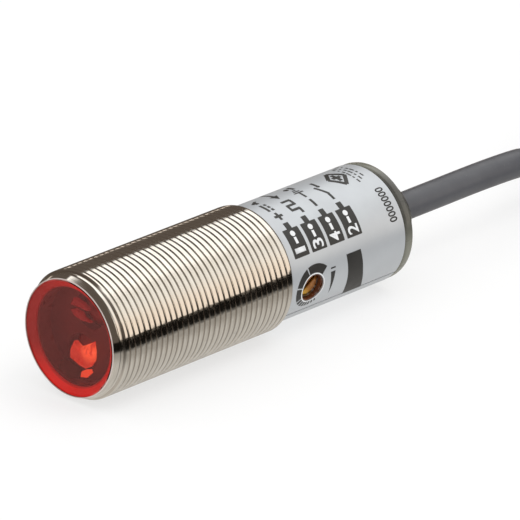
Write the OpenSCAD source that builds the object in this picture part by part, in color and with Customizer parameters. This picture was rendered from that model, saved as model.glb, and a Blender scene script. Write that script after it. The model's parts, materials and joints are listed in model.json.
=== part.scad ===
// Cylindrical photoelectric sensor: M18 threaded barrel, side adjuster, fixed cable.
// It lies on its side along Y, lens towards -Y, resting on z = 0.
// Inside lay(), +z runs from the lens back to the cable, +x points at the adjuster.

/* [Barrel] */
// Outside diameter of the thread
thread_d = 18; // [16:0.5:20]
// Pitch of the thread
thread_pitch = 1; // [0.75:0.25:1.5]
// Number of thread grooves
thread_turns = 31; // [20:1:31]
// Lens face to the first groove's middle
thread_start = 2.85; // [2.6:0.05:3.2]
// Depth of a groove
thread_depth = 0.6; // [0.4:0.05:0.65]
// Lens face to the rear end of the cable seal
overall_l = 62; // [62:1:64]
// Diameter of the front rim
rim_d = 16.8; // [16.6:0.1:17]
// Length of the tapered lead-in behind the rim
rim_l = 1.8; // [1.4:0.1:2]
// Bore through the barrel
bore_d = 14.6; // [14.4:0.1:14.8]
// Diameter of the plain section that carries the label
plain_d = 16.4; // [16.2:0.1:16.5]
// Lens face to the rear end of the barrel
barrel_l = 56.4; // [56.2:0.1:56.6]

/* [Label] */
// Thickness of the wrapped label
label_t = 0.15; // [0.1:0.05:0.2]
// Width of the open seam between its ends
label_seam = 0.3; // [0.2:0.1:0.6]
// Lens face to the label's front edge
label_start = 34; // [34:0.1:35]

/* [Adjuster] */
// Lens face to the adjuster's axis
adjuster_z = 38.2; // [38:0.1:39]
// Diameter of the hole in barrel and label
adjuster_hole_d = 4.1; // [4:0.1:4.4]
// Diameter of the turning rotor
rotor_d = 3.44; // [3.4:0.02:3.48]
// Diameter that the rotor turns in
rotor_well_d = 3.6; // [3.6:0.02:3.64]
// Axis of the sensor to the rotor's face
rotor_top = 7.6; // [7.4:0.1:7.8]
// Width of the screwdriver slot
slot_w = 0.6; // [0.4:0.1:0.8]
// Angle of the slot at rest
slot_angle = 40; // [0:5:90]

/* [Rear end] */
// Diameter of the cap's flange
cap_d = 16.6; // [16.4:0.1:16.8]
// Length of the flange
cap_l = 1.7; // [1.6:0.1:2]
// Diameter of the boss round the cable
boss_d = 10; // [9.4:0.2:11]
// Diameter of the rubber cable seal
seal_d = 8.6; // [8:0.2:8.8]

/* [Cable] */
// Outside diameter of the cable
cable_d = 4; // [4:0.1:4.2]
// Diameter of one insulated core
core_d = 1.2; // [1:0.1:1.3]
// Height of the tied hank
hank_h = 20.6; // [20.6:0.1:21]
// Radius of the hank's end loops, outside
hank_r = 18.3; // [18.3:0.1:18.6]
// Distance between the middles of the two end loops
hank_span = 44; // [44:1:46]
// Width of the hank where the tie gathers it
waist_w = 16.6; // [16.6:0.1:17]

/* [Placing] */
// Turn of the sensor about its own axis as it lies
roll = 13; // [0:1:30]

/* [Hidden] */

$fn = 72;
eps = 0.01;
brown = "#5a3420";
blue = "#2458a8";
black = "#1c1c1e";
white = "#e8e6e0";
core_colors = [brown, blue, black, white];

thread_r = thread_d / 2;
root_r = thread_r - thread_depth;
bore_r = bore_d / 2;
plain_r = plain_d / 2;
label_r = plain_r + label_t;
thread_end = thread_start + (thread_turns - 1) * thread_pitch + thread_pitch / 2;
shoulder_l = 0.6;
pocket_r = rim_d / 2 - 0.3;
pocket_l = 2.8;

// Stations along the axis, measured back from the lens face
lens_t = 1.9;
lens_skirt_end = 3.6;
holder_end = 15;
optics_board_t = 1;
board_start = holder_end + optics_board_t;
board_end = 50;
board_t = 1;
board_x = 2.1;
board_top = board_x + board_t;
board_w = 11.6;
sleeve_t = 0.25;
seal_start = 55;
boss_end = overall_l - 0.4;
root_start = 52;
channel_y = 3.3;
lens_r = 2.65;

// Hank: its middle, and the level of the tie's gathered waist
hank_x = 9;
hank_y = 112;
waist_lift = 1;
waist_top = hank_h + 0.8;
tie_w = 4.8;
tie_t = 0.8;
cable_r = cable_d / 2;
cable_flat = cable_r * cos(22.5);
end_z = waist_top + cable_flat;
end_from = hank_y - 14;
end_to = hank_y + 6;
lead_to = hank_y + 34;
lead_tip_l = 5.5;
entry_y = 76;

// The cable's route from the seal down to the hank
cable_route = [
    [0, overall_l / 2, thread_r], [0, 40, 9], [0, 49, 9], [0, 56, 8.8],
    [-0.9, 60, 7.9], [-2.2, 65, 5.8], [-3.8, 70, 3.3], [-4.9, 74, 2.2], [-4.9, entry_y, 2.2]
];
route_end = cable_route[len(cable_route) - 1];

// Lays the sensor down: local z becomes world Y
module lay() {
    translate([0, 0, thread_r]) rotate([-90, 0, 0]) translate([0, 0, -overall_l / 2])
        rotate([0, 0, roll]) children();
}

// Places a child at the adjuster with its own z pointing outwards
module at_adjuster() {
    translate([0, 0, adjuster_z]) rotate([0, 90, 0]) children();
}

module ring(r_out, r_in, h) {
    difference() {
        cylinder(r = r_out, h = h);
        translate([0, 0, -1]) cylinder(r = r_in, h = h + 2);
    }
}

// A straight round rod from a to b
module rod(a, b, r) {
    d = b - a;
    l = norm(d);
    translate(a) rotate([0, acos(d[2] / l), atan2(d[1], d[0])]) cylinder(r = r, h = l, $fn = 32);
}

// A flat box whose near face sits on the board: side is 1 above the board, -1 below
module on_board(side, y, z, size) {
    x = side > 0 ? board_top : board_x - size[2];
    translate([x, y - size[1] / 2, z]) cube([size[2], size[1], size[0]]);
}

// A tube swept along points: each ring stands across the way the route runs there,
// with one pair of flats square to the direction above
function unit(v) = v / norm(v);
function way(p, i) = unit(p[min(i + 1, len(p) - 1)] - p[max(i - 1, 0)]);
function tube_ring(p, i, r, sides, above) = let (
    t = way(p, i),
    side = unit(cross(t, above)),
    up = cross(side, t)
) [for (k = [0 : sides - 1]) let (a = (k + 0.5) * 360 / sides) p[i] + r * (cos(a) * side + sin(a) * up)];

module tube(p, r, sides, above = [0, 0, 1]) {
    n = len(p);
    rings = [for (i = [0 : n - 1]) each tube_ring(p, i, r, sides, above)];
    walls = [for (i = [0 : n - 2], k = [0 : sides - 1]) let (a = i * sides, b = a + sides, m = (k + 1) % sides)
        [a + k, a + m, b + m, b + k]];
    polyhedron(rings, concat([[for (k = [sides - 1 : -1 : 0]) k]], walls,
        [[for (k = [0 : sides - 1]) (n - 1) * sides + k]]));
}

function groove(i) = let (z = thread_start + i * thread_pitch) [
    [thread_r, z - 0.35], [root_r, z - 0.06], [root_r, z + 0.06], [thread_r, z + 0.35]
];

module barrel() {
    profile = concat(
        [[pocket_r, 0], [rim_d / 2 - 0.1, 0], [rim_d / 2, 0.12], [thread_r, rim_l]],
        [for (i = [0 : thread_turns - 1]) each groove(i)],
        [
            [thread_r, thread_end], [plain_r, thread_end + shoulder_l],
            [plain_r, barrel_l - 0.3], [plain_r - 0.3, barrel_l], [bore_r, barrel_l],
            [bore_r, pocket_l], [pocket_r, pocket_l]
        ]
    );
    color("#cfcabd") difference() {
        rotate_extrude() polygon(profile);
        at_adjuster() cylinder(d = adjuster_hole_d, h = 20);
    }
}

module label() {
    color("#b9bdc1") difference() {
        translate([0, 0, label_start]) ring(label_r, plain_r, barrel_l - 0.2 - label_start);
        at_adjuster() cylinder(d = adjuster_hole_d, h = 20);
        rotate([0, 0, 29]) translate([plain_r - 1, -label_seam / 2, 0])
            cube([3, label_seam, barrel_l + 1]);
    }
}

module front_lens() {
    skirt_in = bore_r - 0.7;
    color("#b3161a") rotate_extrude() polygon([
        [0, 0], [pocket_r - 0.15, 0], [pocket_r, 0.15], [pocket_r, 0.6], [bore_r - 0.3, lens_t],
        [bore_r, lens_t + 0.1], [bore_r, lens_skirt_end], [skirt_in, lens_skirt_end],
        [skirt_in, lens_t], [0, lens_t]
    ]);
}

module lens_seal() {
    seal_r = 0.38;
    color("#1a1a1a") translate([0, 0, pocket_l - seal_r])
        rotate_extrude() translate([pocket_r - seal_r, 0]) circle(r = seal_r, $fn = 24);
}

module optics_holder() {
    color("#242122") difference() {
        translate([0, 0, lens_skirt_end]) cylinder(r = bore_r, h = holder_end - lens_skirt_end);
        for (side = [-1, 1]) translate([0, side * channel_y, 0]) {
            cylinder(r = lens_r, h = 6.2);
            cylinder(r = 1.9, h = holder_end + 1);
        }
    }
}

// A plano-convex lens in its seat, dome towards the front
module channel_lens(side) {
    dome_r = 4;
    dome_h = dome_r - sqrt(dome_r * dome_r - lens_r * lens_r);
    translate([0, side * channel_y, 5.2]) {
        cylinder(r = lens_r, h = 1);
        intersection() {
            translate([0, 0, dome_r - dome_h]) sphere(r = dome_r);
            translate([0, 0, -dome_h]) cylinder(r = lens_r, h = dome_h + eps);
        }
    }
}

module receiver_lens() {
    color("#8a2a26") channel_lens(-1);
}

module emitter_lens() {
    color("#e8442a") channel_lens(1);
}

module receiver_photodiode() {
    color("#33373c") translate([0, -channel_y, holder_end - 2.5]) {
        cylinder(r = 1.5, h = 2.5);
        translate([0, 0, 1.9]) cylinder(r = 1.8, h = 0.6);
    }
}

module emitter_led() {
    color("#d8402c") translate([0, channel_y, holder_end - 3.5]) {
        sphere(r = 1.5);
        cylinder(r = 1.5, h = 3.5);
        translate([0, 0, 2.5]) cylinder(r = 1.8, h = 1);
    }
}

pin_r = 0.25;
pin_ys = [-3, -1, 1, 3];

module optics_board() {
    color("#1f6a3c") difference() {
        translate([0, 0, holder_end]) cylinder(r = bore_r - 0.3, h = optics_board_t);
        for (y = pin_ys) translate([board_top + pin_r, y, 0]) cylinder(r = pin_r, h = 20, $fn = 24);
    }
}

module board_pins() {
    color("#c9a860") for (y = pin_ys)
        translate([board_top + pin_r, y, holder_end]) cylinder(r = pin_r, h = 4, $fn = 24);
}

module main_board() {
    color("#1f6a3c") translate([board_x, -board_w / 2, board_start])
        cube([board_t, board_w, board_end - board_start]);
}

module insulation_sleeve() {
    color("#c8b48a") difference() {
        translate([0, 0, board_start]) ring(bore_r, bore_r - sleeve_t, board_end - board_start);
        at_adjuster() cylinder(d = adjuster_hole_d, h = 20);
    }
}

// A flat package with gull-wing leads along both long edges
module chip(side, z, l, leads) {
    lead_gap = 1.27;
    first = z + l / 2 - (leads - 1) * lead_gap / 2;
    on_board(side, 0, z, [l, 3.9, 1.5]);
    for (i = [0 : leads - 1], e = [-1, 1])
        on_board(side, e * 2.5, first + i * lead_gap - 0.2, [0.4, 1.1, 0.35]);
}

module control_chip() {
    color("#26262a") chip(-1, 25, 8.7, 7);
}

module amplifier_chip() {
    color("#26262a") chip(1, 22.5, 5, 4);
}

module receiver_shield() {
    wall = 0.2;
    color("#b8b8b4") difference() {
        on_board(-1, 0, 17, [6.6, 8.6, 3]);
        translate([board_x - 3 + wall, -4.3 + wall, 17 + wall])
            cube([3, 8.6 - 2 * wall, 6.6 - 2 * wall]);
    }
}

module output_transistors() {
    color("#2a2a2e") for (y = [-2.6, 2.6]) {
        on_board(-1, y, 36.5, [3.4, 3, 1.5]);
        for (e = [-0.95, 0, 0.95]) on_board(-1, y + e, 39.9, [0.9, 0.5, 0.3]);
        on_board(-1, y, 35.8, [0.7, 1.6, 0.3]);
    }
}

module protection_diodes() {
    color("#303034") for (y = [-3.4, 3.4]) {
        on_board(-1, y, 42.6, [3.6, 2.4, 2]);
        for (z = [42, 46.2]) on_board(-1, y, z, [0.6, 1.5, 0.5]);
    }
}

module capacitors() {
    color("#b08a4a") {
        on_board(1, 0, 43.2, [3.2, 2.6, 1.8]);
        for (y = [-4.2, 4.2]) on_board(1, y, 30.5, [2, 1.25, 1]);
        for (y = [-4, 4]) on_board(-1, y, 31, [2, 1.25, 1.2]);
        on_board(1, 0, 30.4, [3.2, 1.6, 1.4]);
    }
}

module resistors() {
    color("#1d1d20") {
        for (z = [20, 23, 26], y = [-4.9, 4.9]) on_board(1, y, z, [1.6, 0.8, 0.45]);
        for (z = [34.6, 37.4, 40.2], y = [-4.6, 4.6]) on_board(1, y, z, [1.6, 0.8, 0.45]);
    }
}

module status_led() {
    color("#e0902c") {
        on_board(1, 3, 47.4, [2, 1.25, 0.8]);
        translate([board_top + 0.7, 3, 48.4]) rotate([0, 90, 0]) cylinder(r = 0.5, h = 0.4, $fn = 32);
    }
}

body_side = 5.4;
body_top = 6.2;

module adjuster_body() {
    color("#2d4f8c") difference() {
        translate([board_top, -body_side / 2, adjuster_z - body_side / 2])
            cube([body_top - board_top, body_side, body_side]);
        at_adjuster() translate([0, 0, 4.4]) cylinder(d = rotor_well_d, h = 5);
    }
}

module adjuster_rotor() {
    slot_depth = 0.9;
    color("#b8702a") difference() {
        at_adjuster() translate([0, 0, 4.4]) cylinder(d = rotor_d, h = rotor_top - 4.4);
        at_adjuster() rotate([0, 0, slot_angle])
            translate([-5, -slot_w / 2, rotor_top - slot_depth]) cube([10, slot_w, 2]);
    }
}

module adjuster_collar() {
    color("#a8641f") at_adjuster() translate([0, 0, body_top])
        ring(adjuster_hole_d / 2, rotor_well_d / 2, 8.05 - body_top);
}

module rear_cap() {
    flange_r = cap_d / 2;
    boss_r = boss_d / 2;
    flange_end = barrel_l + cap_l;
    color("#55544f") rotate_extrude() polygon([
        [5.8, board_end], [bore_r, board_end], [bore_r, barrel_l], [flange_r - 0.35, barrel_l],
        [flange_r, barrel_l + 0.3], [flange_r, flange_end - 0.4], [flange_r - 0.4, flange_end],
        [boss_r, flange_end], [boss_r, boss_end - 0.4], [boss_r - 0.4, boss_end],
        [seal_d / 2, boss_end], [seal_d / 2, seal_start], [5.8, seal_start]
    ]);
}

module cable_seal() {
    color("#161616") translate([0, 0, seal_start])
        ring(seal_d / 2, cable_r, overall_l - seal_start);
}

module cable_clamp() {
    color("#b89a50") translate([0, 0, root_start + 0.6])
        ring(3, cable_r, seal_start - root_start - 0.6);
}

module cable_root() {
    color("#58595d") translate([0, 0, root_start]) cylinder(r = cable_r, h = overall_l - root_start);
}

// The four insulated cores from the cable's end to their pads on the board
wire_r = 0.45;
wire_starts = [[0.62, -0.62], [-0.62, -0.62], [-0.62, 0.62], [0.62, 0.62]];
wire_pads = [-0.8, -2.4, 2.4, 0.8];

module wire(i) {
    pad_x = board_x - wire_r;
    color(core_colors[i]) tube([
        [wire_starts[i][0], wire_starts[i][1], root_start],
        [wire_starts[i][0], wire_starts[i][1], root_start - 0.8],
        [pad_x, wire_pads[i], 49.2], [pad_x, wire_pads[i], 46.9]
    ], wire_r, 8, [1, 0, 0]);
}

module cable() {
    color("#58595d") tube(cable_route, cable_r, 8);
}

module cable_hank() {
    color("#58595d") {
        for (side = [-1, 1]) translate([hank_x, hank_y + side * hank_span / 2, 0])
            cylinder(r = hank_r, h = hank_h);
        translate([hank_x - waist_w / 2, hank_y - hank_span / 2, waist_lift])
            cube([waist_w, hank_span, waist_top - waist_lift]);
        translate([route_end[0] - cable_r, entry_y, 0]) cube([cable_d, 5, cable_d]);
    }
}

module hank_tie() {
    inner_h = end_z + cable_flat - waist_lift;
    color("#1c1c1e") translate([hank_x - waist_w / 2, hank_y - tie_w / 2, waist_lift]) difference() {
        translate([-tie_t, 0, -tie_t]) cube([waist_w + 2 * tie_t, tie_w, inner_h + 2 * tie_t]);
        translate([0, -1, 0]) cube([waist_w, tie_w + 2, inner_h]);
    }
}

module cable_end() {
    color("#58595d") tube([for (y = [end_from, hank_y - 4, end_to]) [hank_x, y, end_z]], cable_r, 8);
}

// The stripped cores fan out along the top of the hank
lead_starts = [[-0.68, 0.7], [-0.64, -0.7], [0.64, -0.7], [0.68, 0.7]];
lead_ends = [-4.5, -1.5, 1.5, 4.5];
lead_end_z = hank_h + 0.9;

function lead_a(i) = [hank_x + lead_starts[i][0], end_to, end_z + lead_starts[i][1]];
function lead_b(i) = [hank_x + lead_ends[i], lead_to, lead_end_z];

module lead(i) {
    color(core_colors[i]) rod(lead_a(i), lead_b(i), core_d / 2);
}

module lead_tips() {
    color("#c8c6c0") for (i = [0 : 3])
        rod(lead_b(i), lead_b(i) + lead_tip_l * unit(lead_b(i) - lead_a(i)), core_d / 3);
}

lay() barrel();
lay() label();
lay() front_lens();
lay() lens_seal();
lay() optics_holder();
lay() receiver_lens();
lay() emitter_lens();
lay() receiver_photodiode();
lay() emitter_led();
lay() optics_board();
lay() board_pins();
lay() main_board();
lay() insulation_sleeve();
lay() control_chip();
lay() amplifier_chip();
lay() receiver_shield();
lay() output_transistors();
lay() protection_diodes();
lay() capacitors();
lay() resistors();
lay() status_led();
lay() adjuster_body();
lay() adjuster_rotor();
lay() adjuster_collar();
lay() rear_cap();
lay() cable_seal();
lay() cable_clamp();
lay() cable_root();
lay() wire(0);  // wire_brown
lay() wire(1);  // wire_blue
lay() wire(2);  // wire_black
lay() wire(3);  // wire_white
cable();
cable_hank();
hank_tie();
cable_end();
lead(0);  // lead_brown
lead(1);  // lead_blue
lead(2);  // lead_black
lead(3);  // lead_white
lead_tips();
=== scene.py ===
import json
import math

import bpy
from mathutils import Matrix, Vector


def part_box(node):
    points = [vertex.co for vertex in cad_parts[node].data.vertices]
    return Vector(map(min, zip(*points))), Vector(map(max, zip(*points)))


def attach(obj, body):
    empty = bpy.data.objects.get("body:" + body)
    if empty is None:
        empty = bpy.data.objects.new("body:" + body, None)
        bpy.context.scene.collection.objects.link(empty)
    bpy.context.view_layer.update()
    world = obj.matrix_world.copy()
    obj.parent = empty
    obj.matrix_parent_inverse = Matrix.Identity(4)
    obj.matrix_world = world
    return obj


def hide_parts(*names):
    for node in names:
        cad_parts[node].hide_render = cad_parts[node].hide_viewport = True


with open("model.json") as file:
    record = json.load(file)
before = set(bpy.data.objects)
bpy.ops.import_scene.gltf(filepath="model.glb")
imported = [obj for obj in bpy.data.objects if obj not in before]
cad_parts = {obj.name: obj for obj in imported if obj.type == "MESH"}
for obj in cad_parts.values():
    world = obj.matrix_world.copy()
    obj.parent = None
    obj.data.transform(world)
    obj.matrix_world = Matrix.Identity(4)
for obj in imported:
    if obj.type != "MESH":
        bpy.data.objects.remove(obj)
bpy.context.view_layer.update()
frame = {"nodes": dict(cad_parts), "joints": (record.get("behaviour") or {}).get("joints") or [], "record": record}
nodes = frame["nodes"]
mm = 0.001

# the sensor lies along Y, so its axis is read off the barrel, and the adjuster off its joint
barrelLow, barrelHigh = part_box("barrel")
lensFace = barrelLow.y
axisHeight = (barrelLow.z + barrelHigh.z) / 2
adjusterJoint = frame["joints"][0]
adjusterOut = Vector(adjusterJoint["axis"]).normalized()
adjusterAt = Vector(adjusterJoint["pos_m"])
adjusterAngle = math.atan2(adjusterOut.z, adjusterOut.x)


def pickOnly(obj):
    bpy.ops.object.select_all(action="DESELECT")
    obj.select_set(True)
    bpy.context.view_layer.objects.active = obj


def editAll(obj):
    pickOnly(obj)
    bpy.ops.object.mode_set(mode="EDIT")
    bpy.ops.mesh.select_all(action="SELECT")


def leaveEdit():
    bpy.ops.object.mode_set(mode="OBJECT")


def tidyMesh(obj, gap=1e-7):
    editAll(obj)
    bpy.ops.mesh.remove_doubles(threshold=gap)
    bpy.ops.mesh.normals_make_consistent(inside=False)
    leaveEdit()


def editFaces(obj, wanted):
    # goes into edit mode with just the faces selected whose centre and normal pass the test
    pickOnly(obj)
    bpy.ops.object.mode_set(mode="EDIT")
    bpy.ops.mesh.select_mode(type="FACE")
    bpy.ops.mesh.select_all(action="DESELECT")
    bpy.ops.object.mode_set(mode="OBJECT")
    for face in obj.data.polygons:
        face.select = wanted(face.center, face.normal)
    bpy.ops.object.mode_set(mode="EDIT")


def addModifier(obj, kind, **settings):
    modifier = obj.modifiers.new(kind.lower(), kind)
    for key, value in settings.items():
        setattr(modifier, key, value)
    pickOnly(obj)
    bpy.ops.object.modifier_apply(modifier=modifier.name)


def cutAway(obj, cutter):
    addModifier(obj, "BOOLEAN", operation="DIFFERENCE", object=cutter, solver="MANIFOLD")
    bpy.data.objects.remove(cutter)


def softenEdges(obj, width, segments=3, angle=30):
    addModifier(obj, "BEVEL", width=width, segments=segments, limit_method="ANGLE",
        angle_limit=math.radians(angle), harden_normals=False)


def smoothOver(obj, angle=35):
    pickOnly(obj)
    bpy.ops.object.shade_smooth_by_angle(angle=math.radians(angle))


def placeIn(obj, matrix):
    # moves the shape itself, so the object stays at the origin
    obj.data.transform(matrix @ obj.matrix_world)
    obj.matrix_world = Matrix.Identity(4)


def joinAll(parts, name):
    bpy.ops.object.select_all(action="DESELECT")
    for part in parts:
        part.select_set(True)
    bpy.context.view_layer.objects.active = parts[0]
    if len(parts) > 1:
        bpy.ops.object.join()
    parts[0].name = name
    return parts[0]


def settle(obj, slotName, *replaced, material=None, body="root"):
    obj.data.materials.clear()
    obj.data.materials.append(material or materials[slotName])
    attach(obj, body)
    if replaced:
        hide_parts(*replaced)
    return obj


def lastMade(name=None):
    obj = bpy.context.object
    if name:
        obj.name = name
    return obj


def addBlock(size, matrix):
    bpy.ops.mesh.primitive_cube_add(size=mm)
    block = lastMade()
    block.data.transform(Matrix.Diagonal((*size, 1)))
    placeIn(block, matrix)
    return block


def outwards(centre, normal):
    # more than 0 where a face looks away from the sensor's axis
    return normal.dot(centre - Vector((0, centre.y, axisHeight)))


def drawOutline(name, points, closed=True):
    # one vertex, extruded from point to point
    bpy.ops.mesh.primitive_plane_add(size=mm)
    obj = lastMade(name)
    editAll(obj)
    bpy.ops.mesh.select_mode(type="VERT")
    bpy.ops.mesh.merge(type="CENTER")
    bpy.ops.transform.translate(value=points[0])
    path = list(points) + ([points[0]] if closed else [])
    for here, there in zip(path, path[1:]):
        step = Vector(there) - Vector(here)
        bpy.ops.mesh.extrude_region_move(TRANSFORM_OT_translate={"value": step})
    bpy.ops.mesh.select_all(action="SELECT")
    bpy.ops.mesh.remove_doubles(threshold=1e-7)
    leaveEdit()
    return obj


def turned(name, outline, steps=144, closed=True, start=0.0, sweep=360.0):
    # outline: (distance back from the lens face, radius) in mm, turned about the sensor's axis
    closed = closed and outline[0][1] > 0
    obj = drawOutline(name, [(radius * mm, lensFace + back * mm, 0) for back, radius in outline], closed)
    editAll(obj)
    bpy.ops.mesh.spin(steps=steps, angle=math.radians(sweep), center=(0, 0, 0), axis=(0, -1, 0))
    leaveEdit()
    if sweep == 360.0:
        tidyMesh(obj)
    placeIn(obj, Matrix.Translation((0, 0, axisHeight)) @ Matrix.Rotation(-math.radians(start), 4, "Y"))
    return obj


def onAdjuster():
    # a frame at the adjuster's axis: z points outwards, x towards the lens
    across = Vector((0, -1, 0))
    up = adjusterOut.cross(across)
    turn = Matrix((across, up, adjusterOut)).transposed().to_4x4()
    return Matrix.Translation(adjusterAt) @ turn


def drillWindow(obj, wide, low, high):
    # the round window over the adjuster, drilled between two heights from the sensor's axis
    bpy.ops.mesh.primitive_cylinder_add(vertices=64, radius=wide / 2 * mm, depth=(high - low) * mm)
    drill = lastMade()
    placeIn(drill, onAdjuster() @ Matrix.Translation((0, 0, (low + high) / 2 * mm)))
    cutAway(obj, drill)


# the cords are measured against the camera's view, so it comes first
cameraPlan = {"azimuth": 43.78, "elevation": 22.2, "distance": 1.0431, "lens": 535.9, "sensor": 36.0,
    "aimBack": 36.4, "aimRise": 0.44}


def buildCamera():
    plan = cameraPlan
    turn, lift = math.radians(plan["azimuth"]), math.radians(plan["elevation"])
    aim = Vector((0, lensFace + plan["aimBack"] * mm, axisHeight + plan["aimRise"] * mm))
    back = Vector((math.sin(turn) * math.cos(lift), -math.cos(turn) * math.cos(lift), math.sin(lift)))
    bpy.ops.object.camera_add(location=aim + back * plan["distance"])
    camera = lastMade()
    camera.rotation_euler = (-back).to_track_quat("-Z", "Y").to_euler()
    camera.data.lens = plan["lens"]
    camera.data.sensor_width = plan["sensor"]
    camera.data.clip_start, camera.data.clip_end = 0.05, 20
    bpy.context.scene.camera = camera
    return camera


buildCamera()
print("camera set")

# the cable's route, as it is laid in the frame, in metres
cableRoute = [(0, 0.031, 0.009), (0, 0.040, 0.009), (0, 0.049, 0.009), (0, 0.056, 0.0088),
    (-0.0009, 0.060, 0.0079), (-0.0022, 0.065, 0.0058), (-0.0038, 0.070, 0.0033), (-0.0049, 0.074, 0.0022),
    (-0.0049, 0.076, 0.0022)]
cablePlan = {"radius": 2.0, "step": 1.1, "length": 2.0, "layer": 4.1, "floor": 2.05, "laps": 10,
    "outerRadius": 16.3, "innerRadius": 12.2, "outerColumn": 6.15, "innerColumn": 2.05, "centreX": 9.0,
    "centreY": 112.0, "halfSpan": 22.0, "lift": 1.0, "sides": 4, "firstMove": 0.95, "moveEarlier": 0.085,
    "moveWidth": 0.13, "tailHeight": 23.05, "tailEnd": 6.0}


def smoothStep(x):
    x = min(1.0, max(0.0, x))
    return x * x * (3 - 2 * x)


def twoArcs(start, end, along, length):
    # an S of two equal arcs, from one sideways place to another
    side = end - start
    if abs(side) < 1e-9:
        return start
    radius = (length * length + side * side) / (4 * abs(side))
    sign = math.copysign(1, side)
    if along < length / 2:
        return start + sign * (radius - math.sqrt(radius * radius - along * along))
    rest = length - along
    return end - sign * (radius - math.sqrt(radius * radius - rest * rest))


def lapPoint(share, radius, column):
    # a lap: left run, far loop, right run, near loop; share goes from 0 to 1 over it
    plan = cablePlan
    half = plan["halfSpan"]
    if share < 0.5:
        side, share = -1, share * 2
    else:
        side, share = 1, share * 2 - 1
    if share < 0.49:
        along = share / 0.49 * 2 * half
        reach = twoArcs(radius, column, min(along, 2 * half - along), half)
        return Vector((side * reach, -side * (along - half), 0))
    turn = math.pi * (share - 0.49) / 0.51
    return Vector((side * radius * math.cos(turn), -side * (half + radius * math.sin(turn)), 0))


def hankPoint(time):
    # time counts laps; odd laps end by changing radius, even ones by climbing a layer
    plan = cablePlan
    inner, layer = 0.0, 0.0
    for lap in range(plan["laps"]):
        moveAt = lap + plan["firstMove"] - plan["moveEarlier"] * lap
        done = smoothStep((time - moveAt) / plan["moveWidth"] + 0.5)
        if lap % 2 == 0:
            inner += done if lap % 4 == 0 else -done
        else:
            layer += done
    share = time % 1.0
    wide = lapPoint(share, plan["outerRadius"], plan["outerColumn"])
    column = plan["innerColumn"] * (1 - smoothStep(time - plan["laps"] + 0.5))
    tight = lapPoint(share, plan["innerRadius"], column)
    place = wide.lerp(tight, inner)
    rise = plan["lift"] * math.cos(min(1.0, abs(place.y) / plan["halfSpan"]) * math.pi / 2) ** 2
    height = plan["floor"] + plan["layer"] * layer + rise
    place.z = min(height, plan["tailHeight"])
    return place + Vector((plan["centreX"], plan["centreY"], 0))


def evenPoints(points, step):
    # the same line again, with its points a step apart
    made, spare = [points[0]], 0.0
    for here, there in zip(points, points[1:]):
        span = (there - here).length
        reach = step - spare
        while reach <= span:
            made.append(here.lerp(there, reach / span))
            reach += step
        spare = span - (reach - step)
    if (points[-1] - made[-1]).length < step / 2:
        made.pop()
    return made + [points[-1]]


def curveThrough(knots, parts):
    # a smooth line through given points: Catmull-Rom, a few parts per stretch
    made = []
    for i in range(len(knots) - 1):
        before, here = knots[max(i - 1, 0)], knots[i]
        there, after = knots[i + 1], knots[min(i + 2, len(knots) - 1)]
        for k in range(parts):
            t = k / parts
            made.append(0.5 * (2 * here + (there - before) * t + (2 * before - 5 * here
                + 4 * there - after) * t * t + (3 * here - before - 3 * there + after) * t ** 3))
    return made + [knots[-1]]


def drawTube(name, points, radius, sides):
    bpy.ops.curve.primitive_bezier_curve_add()
    tube = lastMade(name)
    data = tube.data
    data.splines.clear()
    spline = data.splines.new("POLY")
    spline.points.add(len(points) - 1)
    spline.use_smooth = True
    for knot, point in zip(spline.points, points):
        knot.co = (*(point * mm), 1)
        knot.radius = radius * mm  # the knots carry the size, so that the tube's box fits it closely
    data.bevel_depth = 1
    data.bevel_resolution = sides
    data.use_fill_caps = True
    return tube


def buildCable():
    plan = cablePlan
    lead = [Vector(point) / mm for point in cableRoute]
    first = hankPoint(0.0)
    lead += [Vector((-6.5, 82.5, plan["floor"])), first]
    line = curveThrough(lead, 12)
    time = 0.0
    while True:
        time += 0.002
        point = hankPoint(time)
        if time > plan["laps"] and point.y > plan["centreY"] + plan["tailEnd"]:
            break
        line.append(point)
    line = evenPoints(line, plan["step"])
    return drawTube("cable_with_hank", line, plan["radius"], plan["sides"]), line


cable, cableLine = buildCable()
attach(cable, "root")
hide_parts("cable", "cable_hank", "cable_end")
print("cable laid,", len(cableLine), "points")


# shader groups shared by the materials
def newGroup(name, inputs, outputs):
    tree = bpy.data.node_groups.new(name, "ShaderNodeTree")
    for label, kind, value in inputs:
        socket = tree.interface.new_socket(label, in_out="INPUT", socket_type=kind)
        if value is not None:
            socket.default_value = value
    for label, kind in outputs:
        tree.interface.new_socket(label, in_out="OUTPUT", socket_type=kind)
    return tree, tree.nodes.new("NodeGroupInput"), tree.nodes.new("NodeGroupOutput")


def mathNode(tree, operation, first, second=None, clamp=False):
    node = tree.nodes.new("ShaderNodeMath")
    node.operation = operation
    node.use_clamp = clamp
    for socket, value in zip(node.inputs, (first, second)):
        if isinstance(value, (int, float)):
            socket.default_value = value
        elif value is not None:
            tree.links.new(value, socket)
    return node.outputs[0]


def times(tree, first, second):
    return mathNode(tree, "MULTIPLY", first, second)


def plus(tree, first, second, clamp=False):
    return mathNode(tree, "ADD", first, second, clamp)


def splitVector(tree, vector):
    split = tree.nodes.new("ShaderNodeSeparateXYZ")
    tree.links.new(vector, split.inputs[0])
    return split.outputs


def feed(shader, label, value):
    shader.id_data.links.new(value, shader.inputs[label])


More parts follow.
